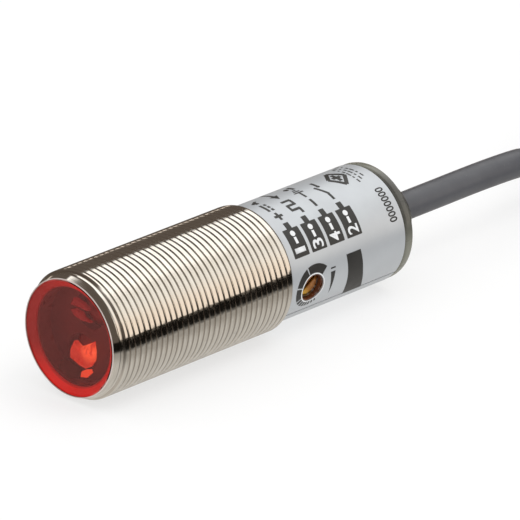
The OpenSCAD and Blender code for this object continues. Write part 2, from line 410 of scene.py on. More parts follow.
def rangeNode(tree, value, fromLow, fromHigh, toLow=0.0, toHigh=1.0, soft=False):
    node = tree.nodes.new("ShaderNodeMapRange")
    node.interpolation_type = "SMOOTHSTEP" if soft else "LINEAR"
    tree.links.new(value, node.inputs["Value"])
    for label, number in (("From Min", fromLow), ("From Max", fromHigh), ("To Min", toLow),
            ("To Max", toHigh)):
        if isinstance(number, (int, float)):
            node.inputs[label].default_value = number
        else:
            tree.links.new(number, node.inputs[label])
    return node.outputs["Result"]


def mixNode(tree, share, first, second):
    node = tree.nodes.new("ShaderNodeMix")
    node.data_type = "RGBA"
    for socket, value in ((node.inputs[0], share), (node.inputs[6], first), (node.inputs[7], second)):
        if isinstance(value, (int, float)):
            socket.default_value = value
        elif isinstance(value, tuple):
            socket.default_value = (*value, 1)
        else:
            tree.links.new(value, socket)
    return node.outputs[2]


def buildMottleGroup():
    # slow, cloudy variation of a moulded or plated surface
    tree, start, end = newGroup("mottle", [("Vector", "NodeSocketVector", None),
        ("Scale", "NodeSocketFloat", 400.0)], [("Mask", "NodeSocketFloat")])
    noise = tree.nodes.new("ShaderNodeTexNoise")
    noise.inputs["Detail"].default_value = 5
    noise.inputs["Roughness"].default_value = 0.62
    tree.links.new(start.outputs["Vector"], noise.inputs["Vector"])
    tree.links.new(start.outputs["Scale"], noise.inputs["Scale"])
    tree.links.new(rangeNode(tree, noise.outputs["Fac"], 0.32, 0.68), end.inputs["Mask"])
    return tree


def buildGrainGroup():
    # fine relief: two sizes of grain added
    tree, start, end = newGroup("grain", [("Vector", "NodeSocketVector", None),
        ("Scale", "NodeSocketFloat", 4000.0)], [("Height", "NodeSocketFloat")])
    coarse = tree.nodes.new("ShaderNodeTexNoise")
    coarse.inputs["Detail"].default_value = 3
    fine = tree.nodes.new("ShaderNodeTexVoronoi")
    tree.links.new(start.outputs["Vector"], coarse.inputs["Vector"])
    tree.links.new(start.outputs["Vector"], fine.inputs["Vector"])
    tree.links.new(start.outputs["Scale"], coarse.inputs["Scale"])
    tree.links.new(times(tree, start.outputs["Scale"], 1.7), fine.inputs["Scale"])
    weak = times(tree, fine.outputs["Distance"], 0.35)
    tree.links.new(plus(tree, coarse.outputs["Fac"], weak), end.inputs["Height"])
    return tree


def buildSpeckGroup():
    # sparse dust and pin-holes
    tree, start, end = newGroup("specks", [("Vector", "NodeSocketVector", None),
        ("Scale", "NodeSocketFloat", 900.0), ("Size", "NodeSocketFloat", 0.06)],
        [("Mask", "NodeSocketFloat")])
    cells = tree.nodes.new("ShaderNodeTexVoronoi")
    tree.links.new(start.outputs["Vector"], cells.inputs["Vector"])
    tree.links.new(start.outputs["Scale"], cells.inputs["Scale"])
    inside = mathNode(tree, "LESS_THAN", cells.outputs["Distance"], start.outputs["Size"])
    tree.links.new(inside, end.inputs["Mask"])
    return tree


def buildAxisGroup():
    # how far a point is from the sensor's axis, in millimetres, and its angle round it
    tree, start, end = newGroup("fromAxis", [("Vector", "NodeSocketVector", None)],
        [("Radius", "NodeSocketFloat"), ("Angle", "NodeSocketFloat")])
    place = splitVector(tree, start.outputs["Vector"])
    rise = mathNode(tree, "SUBTRACT", place["Z"], axisHeight)
    square = plus(tree, times(tree, rise, rise), times(tree, place["X"], place["X"]))
    tree.links.new(times(tree, mathNode(tree, "SQRT", square), 1000), end.inputs["Radius"])
    tree.links.new(mathNode(tree, "ARCTAN2", rise, place["X"]), end.inputs["Angle"])
    return tree


groups = {"mottle": buildMottleGroup(), "grain": buildGrainGroup(), "specks": buildSpeckGroup(),
    "fromAxis": buildAxisGroup()}


def placeGroup(tree, name, vector, **values):
    node = tree.nodes.new("ShaderNodeGroup")
    node.node_tree = groups[name]
    tree.links.new(vector, node.inputs["Vector"])
    for label, value in values.items():
        node.inputs[label].default_value = value
    return node


def cloudy(tree, vector, scale):
    return placeGroup(tree, "mottle", vector, Scale=scale).outputs["Mask"]


def grainy(tree, vector, scale):
    return placeGroup(tree, "grain", vector, Scale=scale).outputs["Height"]


def newMaterial(name):
    material = bpy.data.materials.new(name)
    material.use_nodes = True
    tree = material.node_tree
    shader = tree.nodes.get("Principled BSDF")
    coords = tree.nodes.new("ShaderNodeTexCoord").outputs["Object"]
    return material, tree, shader, coords


def stretched(tree, coords, scale):
    mapping = tree.nodes.new("ShaderNodeMapping")
    mapping.inputs["Scale"].default_value = scale
    tree.links.new(coords, mapping.inputs["Vector"])
    return mapping.outputs["Vector"]


def addBump(tree, shader, height, strength, distance):
    bump = tree.nodes.new("ShaderNodeBump")
    bump.inputs["Strength"].default_value = strength
    bump.inputs["Distance"].default_value = distance
    tree.links.new(height, bump.inputs["Height"])
    feed(shader, "Normal", bump.outputs["Normal"])


def surface(name, look):
    # the common finish: two close colours in a mottle, a varying roughness, a fine grain and a little dust
    material, tree, shader, coords = newMaterial(name)
    vector = stretched(tree, coords, look.get("stretch", (1, 1, 1)))
    mask = cloudy(tree, vector, look.get("mottle", 400))
    specks = placeGroup(tree, "specks", coords, Scale=look.get("dustScale", 1500),
        Size=look.get("dust", 0.05)).outputs["Mask"]
    color = mixNode(tree, mask, look["color"], look["shade"])
    dusty = times(tree, specks, look.get("dustShare", 0.3))
    feed(shader, "Base Color", mixNode(tree, dusty, color, look.get("dustColor", (0.5, 0.48, 0.45))))
    rough = look["rough"]
    spread = look.get("spread", 0.06)
    feed(shader, "Roughness", rangeNode(tree, mask, 0, 1, rough - spread, rough + spread))
    grain = grainy(tree, vector, look.get("grain", 5000))
    addBump(tree, shader, grain, look.get("bump", 0.2), look.get("bumpSize", 0.00003))
    shader.inputs["Metallic"].default_value = look.get("metallic", 0.0)
    shader.inputs["IOR"].default_value = look.get("ior", 1.5)
    shader.inputs["Specular IOR Level"].default_value = look.get("specular", 0.5)
    shader.inputs["Transmission Weight"].default_value = look.get("clear", 0.0)
    shader.inputs["Coat Weight"].default_value = look.get("coat", 0.0)
    shader.inputs["Coat Roughness"].default_value = look.get("coatRough", 0.1)
    if "glow" in look:
        shader.inputs["Emission Color"].default_value = (*look["glow"], 1)
        shader.inputs["Emission Strength"].default_value = look["glowStrength"]
    return material


finishes = {
    "red_lens": {"color": (0.94, 0.34, 0.30), "shade": (0.90, 0.31, 0.27), "rough": 0.02, "spread": 0.01,
        "clear": 1.0, "ior": 1.49, "bump": 0.02, "mottle": 120, "dust": 0.03, "dustShare": 0.05},
    # dark red with a faint painted red glow, for the skirt inside the window
    "red_shade": {"color": (0.10, 0.012, 0.012), "shade": (0.07, 0.01, 0.01), "rough": 0.3, "mottle": 500,
        "glow": (1.0, 0.22, 0.22), "glowStrength": 0.05},
    # painted glow: the emitter's lower step, bright orange-red
    "facet_hot": {"color": (0.16, 0.012, 0.01), "shade": (0.12, 0.01, 0.008), "rough": 0.2, "mottle": 500,
        "glow": (1.0, 0.2, 0.08), "glowStrength": 0.85},
    # painted glow: the receiver's facets, dim red
    "facet_dim": {"color": (0.24, 0.012, 0.012), "shade": (0.10, 0.01, 0.01), "rough": 0.2, "mottle": 500,
        "glow": (1.0, 0.09, 0.12), "glowStrength": 0.12},
    # nearly black with a faint glow: the painted shadow wedge behind the pane
    "facet_dark": {"color": (0.012, 0.005, 0.004), "shade": (0.02, 0.007, 0.005), "rough": 0.4,
        "glow": (1.0, 0.35, 0.25), "glowStrength": 0.012},
    "seal_rubber": {"color": (0.012, 0.012, 0.012), "shade": (0.02, 0.02, 0.019), "rough": 0.6,
        "grain": 7000},
    # a faint painted red glow on the black plastic inside the window
    "black_plastic": {"color": (0.05, 0.016, 0.016), "shade": (0.035, 0.012, 0.012), "rough": 0.45,
        "grain": 6000, "glow": (1.0, 0.2, 0.25), "glowStrength": 0.036},
    "clear_red_lens": {"color": (0.30, 0.02, 0.02), "shade": (0.24, 0.015, 0.015), "rough": 0.08,
        "spread": 0.03, "coat": 0.6, "bump": 0.03, "dust": 0.02},
    # a faint painted red glow on the emitter's lens
    "emitter_lens_red": {"color": (0.2, 0.02, 0.015), "shade": (0.14, 0.015, 0.012), "rough": 0.1,
        "spread": 0.03, "coat": 0.5, "bump": 0.03, "dust": 0.02, "glow": (1.0, 0.12, 0.1),
        "glowStrength": 0.04},
    "sensor_can": {"color": (0.02, 0.022, 0.028), "shade": (0.03, 0.032, 0.04), "rough": 0.2, "coat": 0.6},
    "red_led": {"color": (0.7, 0.05, 0.03), "shade": (0.6, 0.04, 0.02), "rough": 0.25, "coat": 0.4,
        "glow": (1.0, 0.1, 0.03), "glowStrength": 1.2},
    "board_green": {"color": (0.012, 0.12, 0.04), "shade": (0.02, 0.17, 0.06), "rough": 0.35, "mottle": 900,
        "coat": 0.3},
    "gold_pins": {"color": (0.83, 0.6, 0.25), "shade": (0.75, 0.52, 0.2), "rough": 0.22, "metallic": 1.0},
    "sleeve_film": {"color": (0.42, 0.26, 0.07), "shade": (0.36, 0.21, 0.05), "rough": 0.3, "coat": 0.3},
    "chip_black": {"color": (0.018, 0.018, 0.02), "shade": (0.03, 0.03, 0.032), "rough": 0.55,
        "grain": 9000, "bump": 0.35},
    "tin_shield": {"color": (0.6, 0.59, 0.56), "shade": (0.52, 0.51, 0.49), "rough": 0.32, "metallic": 1.0,
        "stretch": (1, 0.08, 1)},
    "capacitor_tan": {"color": (0.42, 0.27, 0.11), "shade": (0.34, 0.21, 0.08), "rough": 0.4},
    "amber_led": {"color": (0.8, 0.32, 0.05), "shade": (0.7, 0.26, 0.04), "rough": 0.25, "coat": 0.4,
        "glow": (1.0, 0.35, 0.03), "glowStrength": 0.6},
    "trimmer_blue": {"color": (0.03, 0.09, 0.32), "shade": (0.04, 0.12, 0.38), "rough": 0.45},
    "amber_rotor": {"color": (0.55, 0.19, 0.015), "shade": (0.40, 0.10, 0.008), "rough": 0.28,
        "spread": 0.08, "mottle": 900, "coat": 0.7, "coatRough": 0.08, "bump": 0.1},
    "amber_collar": {"color": (0.13, 0.035, 0.008), "shade": (0.06, 0.014, 0.006), "rough": 0.22,
        "coat": 0.6, "mottle": 900},
    "brass_clamp": {"color": (0.7, 0.52, 0.22), "shade": (0.6, 0.43, 0.17), "rough": 0.3, "metallic": 1.0},
    "cable_grey": {"color": (0.094, 0.096, 0.106), "shade": (0.080, 0.082, 0.092), "rough": 0.42,
        "spread": 0.05, "mottle": 260, "grain": 3800, "bump": 0.15, "bumpSize": 0.00004},
    "core_brown": {"color": (0.13, 0.045, 0.016), "shade": (0.10, 0.034, 0.012), "rough": 0.35,
        "coat": 0.2},
    "core_blue": {"color": (0.012, 0.09, 0.42), "shade": (0.01, 0.07, 0.35), "rough": 0.35, "coat": 0.2},
    "core_black": {"color": (0.012, 0.012, 0.013), "shade": (0.018, 0.018, 0.02), "rough": 0.35,
        "coat": 0.2},
    "core_white": {"color": (0.78, 0.77, 0.73), "shade": (0.7, 0.69, 0.66), "rough": 0.38, "coat": 0.2},
    "tie_black": {"color": (0.012, 0.012, 0.013), "shade": (0.02, 0.02, 0.022), "rough": 0.4,
        "grain": 5000},
    "tinned_copper": {"color": (0.66, 0.62, 0.56), "shade": (0.55, 0.5, 0.44), "rough": 0.28,
        "metallic": 1.0},
}


def bandRound(tree, angle, edges, most=1.0):
    # full between the middle two of four angles round the axis, and fading away to the outer two
    start, full, fade, end = (math.radians(edge) for edge in edges)
    return times(tree, rangeNode(tree, angle, start, full, soft=True),
        rangeNode(tree, angle, end, fade, 0.0, most, soft=True))


def nickelPlate():
    # bright plate with painted shade down in the thread's grooves, a painted highlight on the grooves in one band
    # round the axis and darker painted shade in another, a painted highlight along the front edge, and darker
    # streaks that grow stronger towards the bottom
    look = {"crest": (0.90, 0.86, 0.80), "worn": (0.84, 0.79, 0.72), "groove": (0.52, 0.45, 0.39),
        "streak": (0.50, 0.46, 0.41), "grooveShadeColor": (0.10, 0.085, 0.075), "rim": (0.78, 0.66, 0.62), "deep": 8.80,
        "shallow": 8.93, "litGrooveShare": 0.6, "litGrooveBand": (20, 28, 44, 56), "shadedGrooveBand": (7, 11, 19, 24),
        "rough": 0.10, "grooveRough": 0.30}
    material, tree, shader, coords = newMaterial("nickel_plate")
    mask = cloudy(tree, stretched(tree, coords, (1, 3, 1)), 350)
    polar = placeGroup(tree, "fromAxis", coords).outputs
    radius, angle = polar["Radius"], polar["Angle"]
    place = splitVector(tree, coords)
    threaded = times(tree, rangeNode(tree, place["Y"], lensFace + 1.2 * mm, lensFace + 2.2 * mm),
        rangeNode(tree, place["Y"], lensFace + 33.6 * mm, lensFace + 33.4 * mm))
    # painted shade: the plate's colour darkens down in the thread's grooves
    deep = times(tree, rangeNode(tree, radius, look["shallow"], look["deep"], soft=True), threaded)
    plate = mixNode(tree, mask, look["crest"], look["worn"])
    streak = cloudy(tree, stretched(tree, coords, (0.16, 3, 0.16)), 1500)
    below = rangeNode(tree, place["Z"], axisHeight + 1.5 * mm, axisHeight - 1 * mm, 0.08, 0.42)
    plate = mixNode(tree, times(tree, streak, below), plate, look["streak"])
    # painted highlight: a pale, less metallic band along the front edge by the lens face
    rim = rangeNode(tree, place["Y"], lensFace + 0.14 * mm, lensFace + 0.07 * mm)
    # painted highlight: the grooves take the bright crest colour in a band 20 to 56 degrees round the axis
    litGrooveBand = bandRound(tree, angle, look["litGrooveBand"], look["litGrooveShare"])
    # painted shade: the grooves turn nearly black in a band 7 to 24 degrees round the axis
    shadedGrooveBand = bandRound(tree, angle, look["shadedGrooveBand"])
    groove = mixNode(tree, shadedGrooveBand, mixNode(tree, litGrooveBand, look["groove"], look["crest"]), look["grooveShadeColor"])
    plate = mixNode(tree, rim, mixNode(tree, deep, plate, groove), look["rim"])
    feed(shader, "Base Color", plate)
    wear = rangeNode(tree, mask, 0, 1, look["rough"] - 0.03, look["rough"] + 0.05)
    feed(shader, "Roughness", rangeNode(tree, deep, 0, 1, wear, look["grooveRough"]))
    lathe = grainy(tree, stretched(tree, coords, (0.12, 2.5, 0.12)), 2600)
    addBump(tree, shader, lathe, 0.12, 0.00002)
    feed(shader, "Metallic", rangeNode(tree, rim, 0, 1, 1.0, 0.35))
    return material


def silverLabel():
    # printed film: satin silver with a fine grain that runs round the barrel
    look = {"film": (0.575, 0.605, 0.635), "shade": (0.545, 0.57, 0.60), "rough": 0.40}
    material, tree, shader, coords = newMaterial("silver_label")
    mask = cloudy(tree, coords, 180)
    feed(shader, "Base Color", mixNode(tree, mask, look["film"], look["shade"]))
    feed(shader, "Roughness", rangeNode(tree, mask, 0, 1, look["rough"] - 0.03, look["rough"] + 0.03))
    fine = grainy(tree, stretched(tree, coords, (0.2, 1.6, 0.2)), 5200)
    addBump(tree, shader, fine, 0.1, 0.00002)
    shader.inputs["Metallic"].default_value = 0.42
    return material


def smokeCap():
    # smoky moulding with painted light and shade: its colour is lighter at the top and underneath and darkest
    # round 42 degrees about the axis
    look = {"dark": (0.052, 0.05, 0.044), "light": (0.20, 0.20, 0.165), "middle": 42, "reach": 55}
    material, tree, shader, coords = newMaterial("smoke_cap")
    angle = placeGroup(tree, "fromAxis", coords).outputs["Angle"]
    mask = cloudy(tree, stretched(tree, coords, (1, 0.5, 1)), 240)
    # painted light: the colour lightens with the angle away from 42 degrees round the axis
    away = mathNode(tree, "ABSOLUTE", mathNode(tree, "SUBTRACT", angle, math.radians(look["middle"])))
    share = rangeNode(tree, away, math.radians(8), math.radians(look["reach"]), 0.0, 0.85, soft=True)
    share = plus(tree, share, rangeNode(tree, mask, 0, 1, -0.08, 0.2), clamp=True)
    feed(shader, "Base Color", mixNode(tree, share, look["dark"], look["light"]))
    feed(shader, "Roughness", rangeNode(tree, mask, 0, 1, 0.2, 0.34))
    grain = grainy(tree, coords, 5200)
    addBump(tree, shader, grain, 0.14, 0.00003)
    shader.inputs["Coat Weight"].default_value = 0.35
    shader.inputs["Coat Roughness"].default_value = 0.12
    return material


materials = {name: surface(name, look) for name, look in finishes.items()}
materials["nickel_plate"] = nickelPlate()
materials["smoke_cap"] = smokeCap()
materials["silver_label"] = silverLabel()
materials["label_ink"] = surface("label_ink", {"color": (0.022, 0.0215, 0.0205),
    "shade": (0.029, 0.028, 0.027), "rough": 0.42, "mottle": 600, "bump": 0.05})
materials["label_white"] = surface("label_white", {"color": (0.78, 0.79, 0.8), "shade": (0.72, 0.73, 0.74),
    "rough": 0.4, "bump": 0.05})
print(len(materials), "materials")

for nodeName, node in nodes.items():
    slots = [part["material_slot"] for part in frame["record"]["subparts"] if part["node"] == nodeName]
    node.data.materials.clear()
    node.data.materials.append(materials[slots[0]])
cable.data.materials.append(materials["cable_grey"])


barrelPlan = {"steps": 144, "pitch": 1.0, "turns": 36, "threadFrom": -0.65, "phase": 50.0, "plain": 8.2,
    "end": 56.4, "bore": 7.3, "pocket": 8.1, "pocketDepth": 2.8, "threadEnd": 33.35, "shoulderEnd": 33.95,
    "hole": 4.1}
# half of the groove across, from its middle: (half width, radius)
grooveShape = [(0.0, 8.79), (0.025, 8.795), (0.05, 8.83), (0.1, 8.92), (0.122, 8.955), (0.148, 8.985),
    (0.175, 9.0), (0.185, 9.1)]


def buildBarrel():
    plan = barrelPlan
    outline = [(0.04, plan["pocket"]), (0.0, 8.13), (0.0, 8.18), (0.05, 8.24), (1.0, 8.52), (1.05, 8.6),
        (1.12, 8.65), (1.5, 8.67), (1.75, 8.93), (1.84, 9.0), (plan["threadEnd"] - 0.1, 9.0),
        (plan["threadEnd"] + 0.1, 8.93), (plan["shoulderEnd"], plan["plain"]),
        (plan["end"] - 0.3, plan["plain"]), (plan["end"], plan["plain"] - 0.3), (plan["end"], plan["bore"]),
        (plan["pocketDepth"], plan["bore"]), (plan["pocketDepth"], plan["pocket"])]
    barrel = turned("threaded_barrel", outline, plan["steps"])
    cutAway(barrel, buildGroove())
    drillWindow(barrel, plan["hole"], 4, 12)
    smoothOver(barrel, 32)
    return settle(barrel, "nickel_plate", "barrel")


def buildGroove():
    # the cutter: the groove's section, wound round the axis once for each turn of the thread
    plan = barrelPlan
    half = [(across * mm, radius * mm) for across, radius in grooveShape]
    section = [(radius, across, 0) for across, radius in reversed(half)]
    section += [(radius, -across, 0) for across, radius in half[1:]]
    groove = drawOutline("groove", section)
    pickOnly(groove)
    screw = groove.modifiers.new("screw", "SCREW")
    screw.axis = "Y"
    screw.angle = math.tau
    screw.screw_offset = plan["pitch"] * mm
    screw.iterations = plan["turns"]
    screw.steps = screw.render_steps = plan["steps"]
    screw.use_merge_vertices = True
    screw.merge_threshold = 1e-6
    bpy.ops.object.modifier_apply(modifier="screw")
    editAll(groove)
    bpy.ops.mesh.select_mode(type="EDGE")
    bpy.ops.mesh.select_all(action="DESELECT")
    bpy.ops.mesh.select_non_manifold()
    bpy.ops.mesh.fill()
    leaveEdit()
    tidyMesh(groove)
    start = lensFace + plan["threadFrom"] * mm
    placeIn(groove, Matrix.Translation((0, start, axisHeight))
        @ Matrix.Rotation(-math.radians(plan["phase"]), 4, "Y"))
    return groove


barrel = buildBarrel()
print("barrel threaded,", len(barrel.data.polygons), "faces")


windowPlan = {"pane": 8.06, "paneThick": 0.5, "ringInner": 6.95, "ringDepth": 1.0, "skirt": 6.7,
    "back": 3.55, "bore": 7.27}


def buildWindow():
    # a flat pane over a bevelled ring, and the skirt that holds the optics away from it
    plan = windowPlan
    pane, thick = plan["pane"], plan["paneThick"]
    glass = turned("window_pane", [(0.02, 0), (0.02, pane - 0.12), (0.12, pane), (thick, pane), (thick, 0)])
    smoothOver(glass, 30)
    settle(glass, "red_lens", "front_lens")
    inner, depth = plan["ringInner"], plan["ringDepth"]
    ring = turned("window_ring", [(thick + 0.04, pane + 0.03), (thick + 0.1, pane - 0.05), (depth, inner),
        (depth + 0.08, inner - 0.03), (depth + 0.3, inner), (depth + 0.3, plan["bore"]),
        (thick + 0.5, pane + 0.03)])
    smoothOver(ring, 30)
    settle(ring, "red_lens", "front_lens", material=ringRed())
    skirt, back = plan["skirt"], plan["back"]
    wall = turned("window_skirt", [(depth + 0.32, skirt + 0.1), (depth + 0.42, skirt), (back, skirt),
        (back, plan["bore"]), (depth + 0.32, plan["bore"])])
    smoothOver(wall, 30)
    return settle(wall, "red_lens", "front_lens", material=materials["red_shade"])


# facets moulded round the two light channels, lit with a painted glow, and a dark wedge that is a painted shadow:
# outlines (across, up) from the axis, depths behind the face
facetPlan = {
    "emitter_facets": {"look": "facet_bright", "shapes": [
        {"outline": [(-1.25, -1.35), (-0.7, -1.2), (0.2, -1.75), (0.9, -1.4), (2.55, -0.4), (2.75, -1.9),
            (2.65, -3.1), (1.85, -4.2), (0.85, -4.75), (-0.35, -4.6), (-2.05, -3.95), (-2.0, -2.8)],
         "depth": 2.7, "thick": 0.4, "inset": 0.3, "peak": 0.1}]},
    "emitter_step": {"look": "facet_hot", "shapes": [
        {"outline": [(0.75, -4.95), (1.85, -4.6), (2.05, -5.0), (1.05, -6.0), (-0.45, -6.3), (-0.1, -5.5)],
         "depth": 2.7, "thick": 0.35, "inset": 0.15, "peak": 0.08}]},
    "receiver_facets": {"look": "facet_dim", "shapes": [
        {"outline": [(-1.35, 4.8), (-0.55, 5.0), (0.85, 4.6), (1.85, 3.9), (1.05, 3.5), (-0.15, 3.65),
            (-1.95, 3.65)],
         "depth": 2.7, "thick": 0.35, "inset": 0.2, "peak": 0.1},
        {"outline": [(-1.95, 2.9), (-0.75, 3.45), (0.5, 3.2), (0.9, 2.6), (2.25, 2.3), (1.85, 2.0),
            (0.25, 1.9), (-1.15, 2.2)],
         "depth": 2.7, "thick": 0.3, "inset": 0.15, "peak": 0.08}]},
    # painted shadow: a nearly black wedge just behind the pane, where there is only shade
    "painted_shadow_wedge": {"look": "facet_dark", "shapes": [
        {"outline": [(-3.3, -5.6), (-2.9, -4.4), (-1.9, -3.7), (-0.4, -4.0), (1.0, -4.4), (0.6, -6.0),
            (-1.3, -6.4)],
         "depth": 1.7, "thick": 0.2, "inset": 0.1, "peak": 0.0}]}}


def buildFacets():
    for name, plan in facetPlan.items():
        parts = []
        for shape in plan["shapes"]:
            y = lensFace + shape["depth"] * mm
            gem = drawOutline(name, [(x * mm, y, axisHeight + z * mm) for x, z in shape["outline"]])
            editAll(gem)
            bpy.ops.mesh.edge_face_add()
            rise = (0, -shape["thick"] * 0.5 * mm, 0)
            bpy.ops.mesh.extrude_region_move(TRANSFORM_OT_translate={"value": rise})
            bpy.ops.mesh.inset(thickness=shape["inset"] * mm)
            bpy.ops.transform.translate(value=rise)
            if shape["peak"]:
                bpy.ops.mesh.poke(offset=0)
            leaveEdit()
            addPeak(gem, -shape["peak"] * mm)
            tidyMesh(gem)
            parts.append(gem)
        done = joinAll(parts, name)
        settle(done, "red_lens", "front_lens", material=materials[plan["look"]])


def addPeak(gem, rise):
    # lifts the middle point that a poke leaves in the front face
    if rise:
        front = min(vertex.co.y for vertex in gem.data.vertices)
        level = [vertex for vertex in gem.data.vertices if vertex.co.y < front + 1e-7]
        middle = sum((vertex.co for vertex in level), Vector()) / len(level)
        peak = min(level, key=lambda vertex: (vertex.co - middle).length)
        peak.co.y += rise


def ringRed():
    # moulded red edge with a painted glow: brighter towards the bottom, duller on the left, and dimmer at its
    # inner edge
    look = {"low": (0.66, 0.02, 0.014), "left": (0.20, 0.012, 0.012), "right": (0.42, 0.01, 0.008)}
    material, tree, shader, coords = newMaterial("ring_red")
    place = splitVector(tree, coords)
    sideways = rangeNode(tree, place["X"], -6.5 * mm, 1 * mm, soft=True)
    low = rangeNode(tree, place["Z"], axisHeight - 2 * mm, axisHeight - 7.5 * mm, soft=True)
    color = mixNode(tree, low, mixNode(tree, sideways, look["left"], look["right"]), look["low"])
    mask = cloudy(tree, coords, 260)
    radius = placeGroup(tree, "fromAxis", coords).outputs["Radius"]
    edge = rangeNode(tree, radius, 7.2, 7.02, 0.0, 0.7, soft=True)
    faint = mathNode(tree, "MAXIMUM", times(tree, mask, 0.3), edge)
    # painted glow: the ring's emission carries its light and shade
    feed(shader, "Emission Color", mixNode(tree, faint, color, (0.2, 0.008, 0.008)))
    feed(shader, "Base Color", mixNode(tree, mask, (0.09, 0.006, 0.006), (0.07, 0.005, 0.005)))
    feed(shader, "Roughness", rangeNode(tree, mask, 0, 1, 0.25, 0.35))
    shader.inputs["Emission Strength"].default_value = 1.0
    return material


def facetBright():
    # the emitter's facets with a painted glow: hot in the middle, red towards the edge
    look = {"hot": (1.08, 0.32, 0.13), "warm": (0.42, 0.03, 0.022), "middle": (1.75, -1.9), "reach": 2.3,
        "vein": (0.60, 0.06, 0.035)}
    material, tree, shader, coords = newMaterial("facet_bright")
    place = splitVector(tree, coords)
    x = mathNode(tree, "SUBTRACT", place["X"], look["middle"][0] * mm)
    z = mathNode(tree, "SUBTRACT", place["Z"], axisHeight + look["middle"][1] * mm)
    away = mathNode(tree, "SQRT", plus(tree, times(tree, x, x), times(tree, z, z)))
    mask = cloudy(tree, coords, 650)
    hot = rangeNode(tree, away, look["reach"] * mm, 0.6 * mm, soft=True)
    hot = plus(tree, times(tree, hot, 0.75), times(tree, mask, 0.3), clamp=True)
    veins = cloudy(tree, stretched(tree, coords, (1, 1, 0.45)), 1250)
    veins = rangeNode(tree, veins, 0.5, 0.72, 0.0, 0.75, soft=True)
    color = mixNode(tree, veins, mixNode(tree, hot, look["warm"], look["hot"]), look["vein"])
    # painted glow: the facets emit, though they are no lamp
    feed(shader, "Emission Color", color)
    feed(shader, "Base Color", mixNode(tree, mask, (0.16, 0.012, 0.01), (0.12, 0.01, 0.008)))
    feed(shader, "Roughness", rangeNode(tree, mask, 0, 1, 0.15, 0.3))
    shader.inputs["Emission Strength"].default_value = 1.0
    return material


materials["facet_bright"] = facetBright()
buildWindow()
buildFacets()
print("window built")


# the label: its film, and a print laid out flat, in mm along the barrel and mm round it
labelPlan = {"from": 34.0, "to": 56.2, "radius": 8.35, "thick": 0.14, "seamAt": -42.0, "seamWide": 0.3,
    "hole": 4.1, "adjuster": 7.2, "wrap": 8.38, "step": 2.5, "inkTop": 8.362, "whiteTop": 8.372,
    "printThick": 0.018}


def buildLabel():
    plan = labelPlan
    gap = math.degrees(plan["seamWide"] / plan["radius"])
    film = turned("label_film", [(plan["from"], plan["radius"]), (plan["to"], plan["radius"])], 180,
        closed=False, start=plan["seamAt"] + gap / 2, sweep=360 - gap)
    tidyMesh(film)
    if sum(outwards(face.center, face.normal) for face in film.data.polygons) < 0:
        film.data.flip_normals()
    addModifier(film, "SOLIDIFY", thickness=plan["thick"] * mm, offset=-1)
    drillWindow(film, plan["hole"], 6.4, 10.4)
    smoothOver(film, 30)
    return settle(film, "silver_label", "label")


def arcOf(angle):
    return math.radians(angle) * labelPlan["wrap"]


def flatShape(points):
    shape = drawOutline("shape", [(x * mm, y * mm, 0) for x, y in points])
    editAll(shape)
    bpy.ops.mesh.edge_face_add()
    leaveEdit()
    return shape


def flatBar(x, y, wide, tall, corner=0.0, turn=0.0):
    bpy.ops.mesh.primitive_plane_add(size=mm)
    bar = lastMade()
    bar.data.transform(Matrix.Diagonal((wide, tall, 1, 1)))
    if corner:
        editAll(bar)
        bpy.ops.mesh.bevel(affect="VERTICES", offset=corner * mm, segments=4)
        leaveEdit()
    placeIn(bar, Matrix.Translation((x * mm, y * mm, 0)) @ Matrix.Rotation(math.radians(turn), 4, "Z"))
    return bar


def flatDot(x, y, radius):
    bpy.ops.mesh.primitive_circle_add(vertices=24, radius=radius * mm, fill_type="NGON")
    dot = lastMade()
    placeIn(dot, Matrix.Translation((x * mm, y * mm, 0)))
    return dot


def flatText(body, x, y, tall, wide):
    # reads round the barrel, its tops towards the lens, and is fitted to a size
    bpy.ops.object.text_add()
    text = lastMade()
    text.data.body = body
    text.data.resolution_u = 3
    text.data.offset = 0.018
    pickOnly(text)
    bpy.ops.object.convert(target="MESH")
    text = lastMade()
    xs = [vertex.co.x for vertex in text.data.vertices]
    ys = [vertex.co.y for vertex in text.data.vertices]
    middle = Vector(((min(xs) + max(xs)) / 2, (min(ys) + max(ys)) / 2, 0))
    size = Matrix.Diagonal((wide * mm / (max(xs) - min(xs)), tall * mm / (max(ys) - min(ys)), 1, 1))
    placeIn(text, Matrix.Translation((x * mm, y * mm, 0)) @ Matrix.Rotation(math.pi / 2, 4, "Z") @ size
        @ Matrix.Translation(-middle))
    return text


def flatArc(x, y, inner, outer, start, end, outerEnd=None):
    # a piece of a ring, its outer edge drawing in from outer to outerEnd
    outerEnd = outer if outerEnd is None else outerEnd
    steps = max(3, int(abs(end - start) / 5))
    turns = [i / steps for i in range(steps + 1)]
    points = []
    for share in turns:
        angle = math.radians(start + (end - start) * share)
        reach = outer + (outerEnd - outer) * share
        points.append((x + reach * math.cos(angle), y + reach * math.sin(angle)))
    for share in reversed(turns):
        angle = math.radians(start + (end - start) * share)
        points.append((x + inner * math.cos(angle), y + inner * math.sin(angle)))
    return flatShape(points)


